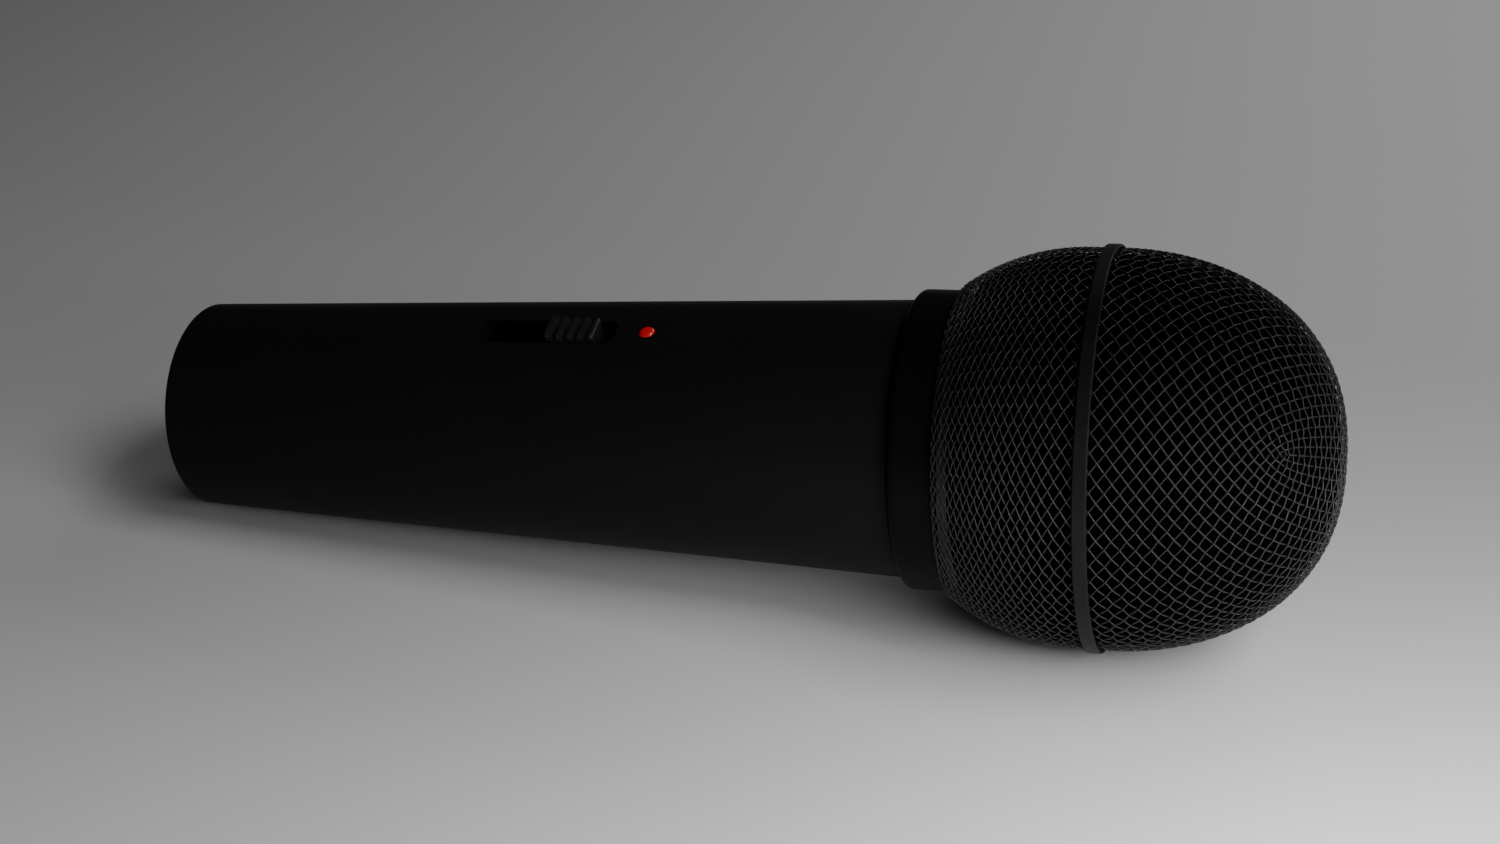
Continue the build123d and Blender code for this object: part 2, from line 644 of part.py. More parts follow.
with BuildPart() as collar:
    with BuildSketch(mic):
        with BuildLine():
            Line((COUNTERBORE_END, THREAD_BORE_R), (COUNTERBORE_END, COUNTERBORE_R))
            Line((COUNTERBORE_END, COUNTERBORE_R), (COLLAR_S, COUNTERBORE_R))
            Line((COLLAR_S, COUNTERBORE_R), (COLLAR_S, COLLAR_R - COLLAR_EDGE))
            RadiusArc(
                (COLLAR_S, COLLAR_R - COLLAR_EDGE),
                (COLLAR_S + COLLAR_EDGE, COLLAR_R),
                COLLAR_EDGE,
            )
            Polyline(
                (COLLAR_S + COLLAR_EDGE, COLLAR_R),
                (COLLAR_END, COLLAR_R),
                (COLLAR_END, SKIRT_R),
                (SKIRT_END, SKIRT_R),
                (SKIRT_END, THREAD_BORE_R),
                (COUNTERBORE_END, THREAD_BORE_R),
            )
        make_face()
    revolve(axis=mic_axis)

slope = radians(REAR_SLOPE)
rear_centre_r = BALL_R - REAR_ARC
corner_s = REAR_ARC_S - (REAR_ARC - CORNER_ARC) * sin(slope)
corner_r = rear_centre_r + (REAR_ARC - CORNER_ARC) * cos(slope)
mesh_face = corner_s - CORNER_ARC
RIM_R = SKIRT_R + FIT


def on_arc(centre, radius, angle):
    """A point at radius from centre, angle degrees back towards the tail from straight out."""
    return (centre[0] - radius * sin(radians(angle)), centre[1] + radius * cos(radians(angle)))


def arc(centre, radius, start, end):
    """An arc about centre, its ends given as for on_arc."""
    middle = (start + end) / 2
    ThreePointArc(*[on_arc(centre, radius, angle) for angle in (start, middle, end)])


with BuildPart() as rear_mesh:
    rear_centre = (REAR_ARC_S, rear_centre_r)
    corner = (corner_s, corner_r)
    with BuildSketch(mic):
        with BuildLine():
            Line((mesh_face, RIM_R), (mesh_face, corner_r))
            arc(corner, CORNER_ARC, 90, REAR_SLOPE)
            arc(rear_centre, REAR_ARC, REAR_SLOPE, 0)
            Polyline(
                (REAR_ARC_S, BALL_R),
                (BAND_S + 0.57, BALL_R),
                (BAND_S + 0.57, BALL_R - MESH),
                (REAR_ARC_S, BALL_R - MESH),
            )
            arc(rear_centre, REAR_ARC - MESH, 0, REAR_SLOPE)
            arc(corner, CORNER_ARC - MESH, REAR_SLOPE, 90)
            Polyline((mesh_face + MESH, corner_r), (mesh_face + MESH, RIM_R), (mesh_face, RIM_R))
        make_face()
    revolve(axis=mic_axis)

with BuildPart() as mesh_retainer:
    ring(mesh_face + MESH + FIT, 109.4, RIM_R, 18.9)

with BuildPart() as head_band:
    turned(
        (BAND_S, BALL_R + FIT),
        (BAND_S, BAND_R),
        (BAND_END, BAND_R),
        (BAND_END, BALL_R + FIT),
        (BAND_END - 0.63, BALL_R + FIT),
        (BAND_END - 0.63, 23.9),
        (BAND_S + 0.62, 23.9),
        (BAND_S + 0.62, BALL_R + FIT),
    )
    fillet(rims(head_band, BAND_R), BAND_EDGE)


def dome_curve(inset):
    """The front mesh's outline, moved in by inset, as one curve from the band to the tip."""
    places = [dome_point(angle, inset) for angle in range(0, 91, 10)]
    Spline(*places, tangents=((1, 0), (0, -1)))
    return places


def dome_shell(start, outer, inner):
    """Turn the closed shell between two dome curves, with straight walls back to start."""
    with BuildSketch(mic) as profile:
        with BuildLine():
            outside = dome_curve(outer)
            Line(outside[-1], (BAND_END + DOME - inner, 0))
            inside = dome_curve(inner)
            Polyline(inside[0], (start, inside[0][1]), (start, outside[0][1]), outside[0])
        make_face()
    revolve(profile.sketch, axis=mic_axis)


with BuildPart() as front_mesh:
    dome_shell(BAND_END - 0.58, 0, MESH)

with BuildPart() as foam_front:
    dome_shell(BAND_END - 0.2, MESH + FOAM_GAP, MESH + FOAM_GAP + FOAM)

FOAM_SLOPE = 30.8

with BuildPart() as foam_rear:
    outer_foam = REAR_ARC - MESH - FOAM_GAP
    inner_foam = outer_foam - FOAM
    foam_r = BALL_R - MESH - FOAM_GAP
    with BuildSketch(mic):
        with BuildLine():
            arc(rear_centre, outer_foam, FOAM_SLOPE, 0)
            Polyline(
                (REAR_ARC_S, foam_r),
                (BAND_S + 0.25, foam_r),
                (BAND_S + 0.25, foam_r - FOAM),
                (REAR_ARC_S, foam_r - FOAM),
            )
            arc(rear_centre, inner_foam, 0, FOAM_SLOPE)
            Line(on_arc(rear_centre, inner_foam, FOAM_SLOPE), on_arc(rear_centre, outer_foam, FOAM_SLOPE))
        make_face()
    revolve(axis=mic_axis)

# ---- files --------------------------------------------------------------------------------------
pieces = {
    "handle_shell": handle_shell,
    "tail_ring": tail_ring,
    "connector_shell": connector_shell,
    "connector_insert": connector_insert,
    "contact_pins": contact_pins,
    "grub_screw": grub_screw,
    "connector_leads": connector_leads,
    "inner_tray": inner_tray,
    "circuit_board": circuit_board,
    "board_screws": board_screws,
    "switch_housing": switch_housing,
    "switch_contacts": switch_contacts,
    "switch_plate": switch_plate,
    "plate_screws": plate_screws,
    "switch_knob": switch_knob,
    "switch_lever": switch_lever,
    "switch_wiper": switch_wiper,
    "indicator_lamp": indicator_lamp,
    "transformer_core": transformer_core,
    "transformer_bobbin": transformer_bobbin,
    "transformer_winding": transformer_winding,
    "transformer_leads": transformer_leads,
    "capsule_leads": capsule_leads,
    "capsule_mount": capsule_mount,
    "mount_retainer": mount_retainer,
    "retainer_screws": retainer_screws,
    "capsule_housing": capsule_housing,
    "capsule_terminals": capsule_terminals,
    "capsule_yoke": capsule_yoke,
    "capsule_magnet": capsule_magnet,
    "capsule_top_plate": capsule_top_plate,
    "voice_coil": voice_coil,
    "diaphragm": diaphragm,
    "diaphragm_clamp": diaphragm_clamp,
    "front_screen": front_screen,
    "front_cover": front_cover,
    "thread_seal": thread_seal,
    "slip_washer": slip_washer,
    "collar": collar,
    "mesh_retainer": mesh_retainer,
    "rear_mesh": rear_mesh,
    "head_band": head_band,
    "front_mesh": front_mesh,
    "foam_rear": foam_rear,
    "foam_front": foam_front,
}

for name, piece in pieces.items():
    piece.part.label = name
    export_step(piece.part, f"parts/{name}.step")

print(f"lean {degrees(lean):.3f} degrees, tail centre at x {tail_x:.3f}, z {tail_height:.3f}")
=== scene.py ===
import json
from bisect import bisect_left
from math import ceil, cos, exp, hypot, log, pi, radians, sin, sqrt

import bpy
from mathutils import Matrix, Vector


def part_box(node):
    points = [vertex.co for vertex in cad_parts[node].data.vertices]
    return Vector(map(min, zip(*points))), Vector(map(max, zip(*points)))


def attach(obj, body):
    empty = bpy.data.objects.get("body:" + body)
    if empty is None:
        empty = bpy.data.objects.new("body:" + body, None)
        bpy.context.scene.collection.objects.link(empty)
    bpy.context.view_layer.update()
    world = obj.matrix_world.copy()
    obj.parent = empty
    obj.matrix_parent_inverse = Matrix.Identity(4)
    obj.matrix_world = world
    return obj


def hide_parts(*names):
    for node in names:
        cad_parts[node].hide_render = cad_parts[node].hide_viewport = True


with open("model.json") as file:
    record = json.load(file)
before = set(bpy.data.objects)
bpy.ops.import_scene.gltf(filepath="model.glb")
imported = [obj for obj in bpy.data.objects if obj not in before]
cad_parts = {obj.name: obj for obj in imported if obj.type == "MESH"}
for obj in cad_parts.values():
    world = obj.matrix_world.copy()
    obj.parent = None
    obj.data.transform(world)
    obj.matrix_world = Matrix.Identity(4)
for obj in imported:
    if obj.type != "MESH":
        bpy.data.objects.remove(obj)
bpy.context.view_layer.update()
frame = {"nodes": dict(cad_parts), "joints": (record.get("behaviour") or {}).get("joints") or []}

# ---- camera -----------------------------------------------------------------------------------
# The camera looks down on the microphone from its switch side. Every place below is measured
# along the microphone's axis, which the grille's screw joint gives: s runs from the tail face.
MM = 0.001
TURN_S = 110 * MM                 # where the grille's joint sits on the axis
TAIL_TO_LENS = Vector((146.17, -233.58, 136.29)) * MM
LOOK_DOWN = 27.74                 # degrees
LOOK_LEFT = 16.06

turn = next(joint for joint in frame["joints"] if joint["name"] == "grille_turn")
axis = Vector(turn["axis"]).normalized()
tail = Vector(turn["pos_m"]) - axis * TURN_S
side = Vector((0, 1, 0))
mic = Matrix((axis, side, axis.cross(side))).transposed().to_4x4()
mic.translation = tail

bpy.ops.object.select_all(action="DESELECT")
bpy.ops.object.camera_add(
    location=tail + TAIL_TO_LENS,
    rotation=(radians(90 - LOOK_DOWN), 0, radians(LOOK_LEFT)),
)
camera = bpy.context.object
camera.data.lens = 50
camera.data.sensor_width = 36
camera.data.clip_start = 5 * MM
bpy.context.scene.camera = camera


# ---- table and light ----------------------------------------------------------------------------
# A pale matt table top, lit by a soft lamp low at the right of the camera, one higher up at the
# right and a dim one behind. The room itself is dark.
class Reading:
    """A number read off a surface. Sums on it add Math nodes to the finish that it belongs to."""

    def __init__(self, finish, socket):
        self.finish = finish
        self.socket = socket

    def math(self, operation, *values):
        return self.finish.node("ShaderNodeMath", {"operation": operation}, dict(enumerate(values)))

    def __add__(self, other):
        return self.math("ADD", self, other)

    def __sub__(self, other):
        return self.math("SUBTRACT", self, other)

    def __rsub__(self, other):
        return self.math("SUBTRACT", other, self)

    def __mul__(self, other):
        return self.math("MULTIPLY", self, other)

    def __truediv__(self, other):
        return self.math("DIVIDE", self, other)

    def __pow__(self, other):
        return self.math("POWER", self, other)

    __radd__ = __add__
    __rmul__ = __mul__


class Finish:
    """A material. Amounts that are the same all over are set on the shader's own sockets."""

    def __init__(self, name, fixed):
        self.material = bpy.data.materials.new(name)
        self.material.use_nodes = True
        self.tree = self.material.node_tree
        self.shader = self.tree.nodes["Principled BSDF"]
        for socket, value in fixed.items():
            self.feed(self.shader.inputs[socket], value)

    def feed(self, socket, value):
        if isinstance(value, Reading):
            self.tree.links.new(value.socket, socket)
        else:
            socket.default_value = value

    def node(self, kind, settings, sockets, out=0):
        made = self.tree.nodes.new(kind)
        for setting, value in settings.items():
            setattr(made, setting, value)
        for socket, value in sockets.items():
            self.feed(made.inputs[socket], value)
        return Reading(self, made.outputs[out])

    def place(self):
        """Where a point is, in metres: along the microphone, across it and up from its axis."""
        point = self.node("ShaderNodeTexCoord", {}, {}, "Object")
        turned = {"Vector": point, "Location": tail, "Rotation": mic.to_euler()}
        return self.node("ShaderNodeMapping", {"vector_type": "TEXTURE"}, turned)

    def noise(self, place, size, detail=2.0, stretch=(1, 1, 1)):
        """Cloudy noise from 0 to 1, with lumps of that size in metres."""
        scaled = self.node("ShaderNodeMapping", {}, {"Vector": place, "Scale": stretch})
        sockets = {"Vector": scaled, "Scale": 1 / size, "Detail": detail}
        return self.node("ShaderNodeTexNoise", {}, sockets)

    def split(self, place):
        """The three distances of a place: s, across and up."""
        parts = self.node("ShaderNodeSeparateXYZ", {}, {0: place}).socket.node
        return [Reading(self, output) for output in parts.outputs]

    def radius(self, across, up):
        return (across * across + up * up) ** 0.5

    def band(self, value, low, high, soft):
        """1 between low and high, fading to 0 over soft at each end."""
        rise = self.clamped((value - low) / soft + 0.5)
        return rise * (1 - self.clamped((value - high) / soft + 0.5))

    def clamped(self, value):
        return self.node("ShaderNodeClamp", {}, {0: value})

    def blend(self, amount, first, second):
        """One colour turning into another as amount goes from 0 to 1."""
        tones = [tone if isinstance(tone, Reading) else (*tone, 1) for tone in (first, second)]
        sockets = {0: amount, 6: tones[0], 7: tones[1]}
        return self.node("ShaderNodeMix", {"data_type": "RGBA"}, sockets, 2)

    def relief(self, height, depth, strength=1.0):
        """Bumps that stand depth metres high where height is 1."""
        sockets = {"Height": height, "Distance": depth, "Strength": strength}
        self.set(Normal=self.node("ShaderNodeBump", {}, sockets))

    def set(self, **readings):
        for socket, value in readings.items():
            self.feed(self.shader.inputs[socket.replace("_", " ")], value)


TABLE_SIZE = 6.0
TABLE_TONE = (0.60, 0.60, 0.60)
TABLE_TONE_LOW = (0.585, 0.585, 0.585)

table_finish = Finish("table_top", {"Roughness": 0.7, "Specular IOR Level": 0.2})
clouds = table_finish.noise(table_finish.place(), 0.25)
table_finish.set(Base_Color=table_finish.blend(clouds, TABLE_TONE_LOW, TABLE_TONE))
bpy.ops.mesh.primitive_plane_add(size=TABLE_SIZE)
table = bpy.context.object
table.name = "table"
table.data.materials.append(table_finish.material)


def lamp(name, place, aim, size, watts):
    """A square soft lamp that points at aim."""
    place = Vector(place)
    facing = (Vector(aim) - place).to_track_quat("-Z", "Y").to_euler()
    bpy.ops.object.light_add(type="AREA", location=place, rotation=facing)
    light = bpy.context.object
    light.name = name
    light.data.size = size
    light.data.energy = watts


lamp("near_lamp", (0.196, -0.169, 0.117), (0.194, -0.221, 0), 0.25, 2.03)
lamp("high_lamp", (0.374, -0.124, 0.488), (0.399, 0.011, 0), 0.31, 1.83)
lamp("back_lamp", (0.18, 0.42, 0.32), (0.08, 0.20, 0), 0.25, 0.45)

room = bpy.data.worlds.new("room")
room.use_nodes = True
room.node_tree.nodes["Background"].inputs["Color"].default_value = (0.030, 0.030, 0.030, 1)
bpy.context.scene.world = room


# ---- handle -------------------------------------------------------------------------------------
# One aluminium casting, turned to a taper and sprayed with a thin black satin enamel that is
# rubbed a little at the tail rim.
ENAMEL = (0.0068, 0.0068, 0.0070)
ENAMEL_WORN = (0.012, 0.012, 0.0125)
RIM_R = 13.7 * MM                 # rubbed beyond this radius,
RIM_S = 0.45 * MM                 # within this much of the tail face,
RIM_FADE = 0.3 * MM               # and fading over this much


def coat(node_name, finish):
    """Gives a CAD piece its finish."""
    piece = frame["nodes"][node_name]
    if not piece.material_slots:
        piece.data.materials.append(finish.material)
    for held in piece.material_slots:
        held.material = finish.material


def enamel(name, dark, pale, rough, shine=0.06):
    """Sprayed enamel: a faint orange peel, and patches a little more and less shiny."""
    finish = Finish(name, {"Specular IOR Level": shine})
    place = finish.place()
    patches = finish.noise(place, 9 * MM, 4)
    specks = finish.noise(place, 0.12 * MM, 2)
    finish.set(Base_Color=finish.blend(patches * 0.6 + specks * 0.4, dark, pale))
    finish.set(Roughness=rough + (patches - 0.5) * 0.12 + (specks - 0.5) * 0.06)
    finish.relief(finish.noise(place, 0.35 * MM, 3), 0.012 * MM, 0.6)
    return finish


handle_enamel = enamel("handle_enamel", ENAMEL, (0.0095, 0.0095, 0.0098), 0.45)
run, across, up = handle_enamel.split(handle_enamel.place())
at_rim = handle_enamel.clamped((handle_enamel.radius(across, up) - RIM_R) / RIM_FADE)
near_tail = handle_enamel.clamped((RIM_S - run) / RIM_FADE)
chips = handle_enamel.clamped((handle_enamel.noise(handle_enamel.place(), 1.2 * MM, 5) - 0.42) * 6)
sprayed = handle_enamel.shader.inputs["Base Color"].links[0].from_socket
worn = handle_enamel.blend(at_rim * near_tail * chips, Reading(handle_enamel, sprayed), ENAMEL_WORN)
handle_enamel.set(Base_Color=worn)
coat("handle_shell", handle_enamel)


# ---- tail connector -----------------------------------------------------------------------------
# A three-pole socket: a nickel-plated shell and three gold-flashed contacts in a moulded insert,
# held in the tail by a blackened ring with two spanner slots and by a grub screw.
def lathed(name, tone, rough, feed=0.06 * MM, metal=1.0, depth=0.004 * MM):
    """Turned metal: fine rings left by the tool, and a little staining."""
    finish = Finish(name, {"Metallic": metal})
    place = finish.place()
    run, across, up = finish.split(place)
    on_lathe = finish.node("ShaderNodeCombineXYZ", {}, {0: run, 1: finish.radius(across, up)})
    rings = finish.noise(on_lathe, feed, 1)
    stains = finish.noise(place, 3 * MM, 4)
    dark = tuple(0.72 * part for part in tone)
    finish.set(Base_Color=finish.blend(stains * 0.7 + rings * 0.3, dark, tone))
    finish.set(Roughness=rough + (rings - 0.5) * 0.12 + (stains - 0.5) * 0.15)
    finish.relief(rings, depth)
    return finish


def moulded(name, tone, rough, grain=0.18 * MM, depth=0.012 * MM):
    """Moulded plastic or rubber: a fine sparked grain and slow changes of tone."""
    finish = Finish(name, {"Specular IOR Level": 0.4})
    place = finish.place()
    flow = finish.noise(place, 4 * MM, 3)
    sparked = finish.noise(place, grain, 2)
    pale = tuple(1.35 * part + 0.002 for part in tone)
    finish.set(Base_Color=finish.blend(flow * 0.5 + sparked * 0.5, tone, pale))
    finish.set(Roughness=rough + (sparked - 0.5) * 0.15)
    finish.relief(sparked, depth)
    return finish


nickel = lathed("nickel_plate", (0.62, 0.60, 0.57), 0.28)
black_steel = lathed("blackened_steel", (0.045, 0.045, 0.047), 0.42, metal=0.6)
gold = lathed("gold_flash", (0.83, 0.62, 0.28), 0.22)
coat("connector_shell", nickel)
coat("tail_ring", black_steel)
coat("grub_screw", black_steel)
coat("contact_pins", gold)
coat("connector_insert", moulded("insert_nylon", (0.016, 0.016, 0.017), 0.5))

LEAD_RED = (0.42, 0.035, 0.03)
LEAD_BLUE = (0.03, 0.08, 0.35)
LEAD_WHITE = (0.55, 0.53, 0.48)
LEAD_STRIPE = 1.2 * MM            # leads further than this to one side are blue, to the other white
LEAD_FADE = 0.2 * MM
lead_sleeve = moulded("lead_sleeve", LEAD_RED, 0.45, 0.4 * MM)
run, across, up = lead_sleeve.split(lead_sleeve.place())
blue_side = lead_sleeve.clamped((across + LEAD_STRIPE) / LEAD_FADE)
white_side = lead_sleeve.clamped((across - LEAD_STRIPE) / LEAD_FADE)
two_tone = lead_sleeve.blend(blue_side, LEAD_RED, LEAD_BLUE)
lead_sleeve.set(Base_Color=lead_sleeve.blend(white_side, two_tone, LEAD_WHITE))
for leads in ("connector_leads", "transformer_leads", "capsule_leads"):
    coat(leads, lead_sleeve)


# ---- tray, board and transformer ------------------------------------------------------------------
# A moulded tray slides into the handle. It carries the fibreglass circuit board, held by four
# slotted screws, and the transformer: copper wire on a nylon bobbin, in a stack of thin plates.
def ridged(finish, along, pitch, depth):
    """Fine round ridges, one to each pitch along a reading, such as the turns of a winding."""
    wave = finish.node("ShaderNodeMath", {"operation": "SINE"}, {0: along * (2 * pi / pitch)})
    height = wave * 0.5 + 0.5
    finish.relief(height, depth)
    return height


coat("inner_tray", moulded("tray_nylon", (0.05, 0.05, 0.052), 0.55))
coat("transformer_bobbin", moulded("bobbin_nylon", (0.45, 0.43, 0.38), 0.5))
coat("board_screws", lathed("zinc_plate", (0.55, 0.55, 0.56), 0.35))

SWITCH_ROLL = radians(16.6)       # the board and the switch are turned this far from straight up
TRACK_PITCH = 1.27 * MM
TRACK_WIDTH = 0.42                # part of the pitch that the copper takes
board_finish = Finish("solder_mask", {"Coat Weight": 0.4, "Coat Roughness": 0.15})
place = board_finish.place()
run, across, up = board_finish.split(place)
board_across = across * cos(SWITCH_ROLL) + up * sin(SWITCH_ROLL)
in_pitch = board_finish.node("ShaderNodeMath", {"operation": "FRACT"}, {0: board_across / TRACK_PITCH})
track = board_finish.band(in_pitch, 0.5 - TRACK_WIDTH / 2, 0.5 + TRACK_WIDTH / 2, 0.08)
laid = board_finish.clamped((board_finish.noise(place, 5 * MM, 0, (1, 0.3, 0.3)) - 0.42) * 30)
fibres = board_finish.noise(place, 0.3 * MM, 3, (1, 6, 6))
green = board_finish.blend(fibres, (0.006, 0.055, 0.02), (0.010, 0.080, 0.03))
board_finish.set(Base_Color=board_finish.blend(track * laid, green, (0.03, 0.16, 0.06)))
board_finish.set(Roughness=0.38 + (fibres - 0.5) * 0.2)
board_finish.relief(track * laid * 0.8 + fibres * 0.2, 0.03 * MM)
coat("circuit_board", board_finish)

LAMINATION = 0.35 * MM
core_finish = lathed("core_plates", (0.30, 0.29, 0.28), 0.45, metal=0.9)
run, across, up = core_finish.split(core_finish.place())
through_stack = up * cos(SWITCH_ROLL) - across * sin(SWITCH_ROLL)
ridged(core_finish, through_stack, LAMINATION, 0.04 * MM)
coat("transformer_core", core_finish)

WINDING_PITCH = 0.16 * MM
winding_finish = Finish("enamelled_copper", {"Metallic": 0.85, "Coat Weight": 0.6})
run, across, up = winding_finish.split(winding_finish.place())
turns = ridged(winding_finish, run, WINDING_PITCH, 0.05 * MM)
crossed = winding_finish.noise(winding_finish.place(), 1.5 * MM, 3, (6, 1, 1))
# painted shade: the grooves between turns are drawn darker than the crests
copper = winding_finish.blend(turns * 0.5 + crossed * 0.5, (0.20, 0.055, 0.02), (0.62, 0.22, 0.09))
winding_finish.set(Base_Color=copper, Roughness=0.3 + (crossed - 0.5) * 0.2)
coat("transformer_winding", winding_finish)


# ---- switch -----------------------------------------------------------------------------------
# A slide switch under the slot: nylon housing, steel cover plate and screws, a sprung wiper on a
# lever, and the ribbed black knob that the thumb moves. Beside it, a red lens covers the lamp.
coat("switch_housing", moulded("housing_nylon", (0.02, 0.02, 0.021), 0.5))
coat("switch_lever", moulded("lever_acetal", (0.03, 0.03, 0.031), 0.4))
coat("switch_plate", black_steel)
coat("plate_screws", black_steel)
coat("switch_contacts", gold)
coat("switch_wiper", gold)
coat("capsule_terminals", gold)

KNOB_HIGHLIGHT_CREST = 16.9 * MM            # height above the axis where the rib tops get a painted highlight, and a smoother polish from the thumb
KNOB_FADE = 0.25 * MM
knob_finish = moulded("knob_plastic", (0.010, 0.010, 0.0105), 0.42, 0.12 * MM)
run, across, up = knob_finish.split(knob_finish.place())
height = up * cos(SWITCH_ROLL) - across * sin(SWITCH_ROLL)
polish_and_highlight = knob_finish.clamped((height - KNOB_HIGHLIGHT_CREST) / KNOB_FADE)
# painted highlight: the rib tops are drawn paler; only their roughness is thumb polish
knob_tone = knob_finish.blend(polish_and_highlight, (0.007, 0.007, 0.0073), (0.012, 0.012, 0.0125))
knob_finish.set(Base_Color=knob_tone, Roughness=0.55 - polish_and_highlight * 0.12)
coat("switch_knob", knob_finish)

LENS_HIGHLIGHT_RING = (0.92 * MM, 1.2 * MM)   # where the dome meets its rim: a ring painted paler as a highlight
low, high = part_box("indicator_lamp")
lens_s = (mic.inverted() @ ((low + high) / 2)).x
lens_finish = Finish("lamp_lens", {"Roughness": 0.3, "Coat Weight": 0.3, "Emission Strength": 0.2})
run, across, up = lens_finish.split(lens_finish.place())
beside = across * cos(SWITCH_ROLL) + up * sin(SWITCH_ROLL)
from_middle = lens_finish.radius(run - lens_s, beside)
lens_highlight_ring = lens_finish.band(from_middle, *LENS_HIGHLIGHT_RING, 0.12 * MM)
mottled = lens_finish.noise(lens_finish.place(), 0.4 * MM, 3)
red = lens_finish.blend(mottled, (0.50, 0.002, 0.002), (0.58, 0.003, 0.003))
# painted highlight: a paler ring round the edge of the dome
lens_red_with_highlight = lens_finish.blend(lens_highlight_ring, red, (0.80, 0.008, 0.008))
lens_finish.set(Base_Color=lens_red_with_highlight, Emission_Color=lens_red_with_highlight)
lens_finish.relief(mottled, 0.01 * MM)
coat("indicator_lamp", lens_finish)


# ---- capsule ------------------------------------------------------------------------------------
# The dynamic capsule hangs in a ribbed rubber mount, screwed to the handle's spigot under a steel
# retainer. Aluminium housing, steel yoke and plate round the magnet, film diaphragm and coil.
rubber = moulded("mount_rubber", (0.013, 0.013, 0.014), 0.75, 0.3 * MM, 0.02 * MM)
coat("capsule_mount", rubber)
coat("thread_seal", rubber)
coat("mount_retainer", black_steel)
coat("retainer_screws", lathed("screw_steel", (0.32, 0.32, 0.33), 0.3))
coat("capsule_housing", lathed("spun_aluminium", (0.42, 0.42, 0.43), 0.38))
coat("capsule_yoke", lathed("soft_iron", (0.34, 0.34, 0.35), 0.4))
coat("capsule_top_plate", lathed("plated_iron", (0.5, 0.5, 0.52), 0.3))
coat("capsule_magnet", moulded("sintered_magnet", (0.10, 0.10, 0.105), 0.5, 0.25 * MM))
coat("diaphragm_clamp", lathed("clamp_brass", (0.45, 0.38, 0.24), 0.35))
coat("mesh_retainer", black_steel)
cover_finish = enamel("cover_enamel", (0.012, 0.012, 0.0125), (0.017, 0.017, 0.018), 0.5)
coat("front_cover", cover_finish)

COIL_PITCH = 0.11 * MM
coil_finish = Finish("coil_wire", {"Metallic": 0.9, "Roughness": 0.3})
run, across, up = coil_finish.split(coil_finish.place())
coil_turn = ridged(coil_finish, run, COIL_PITCH, 0.03 * MM)
# painted shade: the grooves between turns are drawn darker than the crests
coil_finish.set(Base_Color=coil_finish.blend(coil_turn, (0.25, 0.08, 0.03), (0.70, 0.28, 0.12)))
coat("voice_coil", coil_finish)

PLEATS = 36                       # slanted creases pressed in the diaphragm's surround
PLEAT_SLANT = 0.3 * MM            # distance outwards in which a crease leans by one radian of its wave
SURROUND = (9.1 * MM, 11.8 * MM)
film_finish = Finish("pressed_film", {"Roughness": 0.18, "Coat Weight": 0.5})
run, across, up = film_finish.split(film_finish.place())
film_r = film_finish.radius(across, up)
about = film_finish.node("ShaderNodeMath", {"operation": "ARCTAN2"}, {0: across, 1: up})
crease_wave = about * PLEATS + film_r / PLEAT_SLANT
crease = film_finish.node("ShaderNodeMath", {"operation": "SINE"}, {0: crease_wave})
creased = crease * film_finish.band(film_r, *SURROUND, 0.4 * MM)
# painted shade: the creases are drawn darker in their troughs and paler on their crests
film_tone = film_finish.blend(creased * 0.5 + 0.5, (0.34, 0.27, 0.17), (0.50, 0.42, 0.28))
film_finish.set(Base_Color=film_tone)
film_finish.relief(creased, 0.05 * MM)
coat("diaphragm", film_finish)

CLOTH_PITCH = 0.3 * MM
screen_finish = Finish("screen_cloth", {"Roughness": 0.8})
run, across, up = screen_finish.split(screen_finish.place())
sine = {"operation": "SINE"}
weft = screen_finish.node("ShaderNodeMath", sine, {0: across * (2 * pi / CLOTH_PITCH)})
warp = screen_finish.node("ShaderNodeMath", sine, {0: up * (2 * pi / CLOTH_PITCH)})
threads = weft * warp * 0.5 + 0.5
# painted shade: the cloth is drawn darker where its threads dip
screen_tone = screen_finish.blend(threads, (0.01, 0.01, 0.01), (0.06, 0.06, 0.062))
screen_finish.set(Base_Color=screen_tone)
screen_finish.relief(threads, 0.06 * MM)
coat("front_screen", screen_finish)


# ---- screw thread -----------------------------------------------------------------------------------
# The grille screws on to the spigot: a rolled ridge of five turns on the handle, and one of four
# inside the collar that runs in its groove, half a pitch away.
PITCH = 1.25 * MM
SPIGOT_TURNS = 5
COLLAR_TURNS = 4
RIDGE_FOOT = 1.05 * MM            # width of the ridge where it stands
RIDGE_CREST = 0.16 * MM
TURN_STEPS = 72


def seat(piece):
    """Puts a piece made along its own X on to the microphone, with its place in its mesh."""
    piece.matrix_world = mic
    bpy.ops.object.select_all(action="DESELECT")
    piece.select_set(True)
    bpy.context.view_layer.objects.active = piece
    bpy.ops.object.transform_apply(location=True, rotation=True, scale=True)


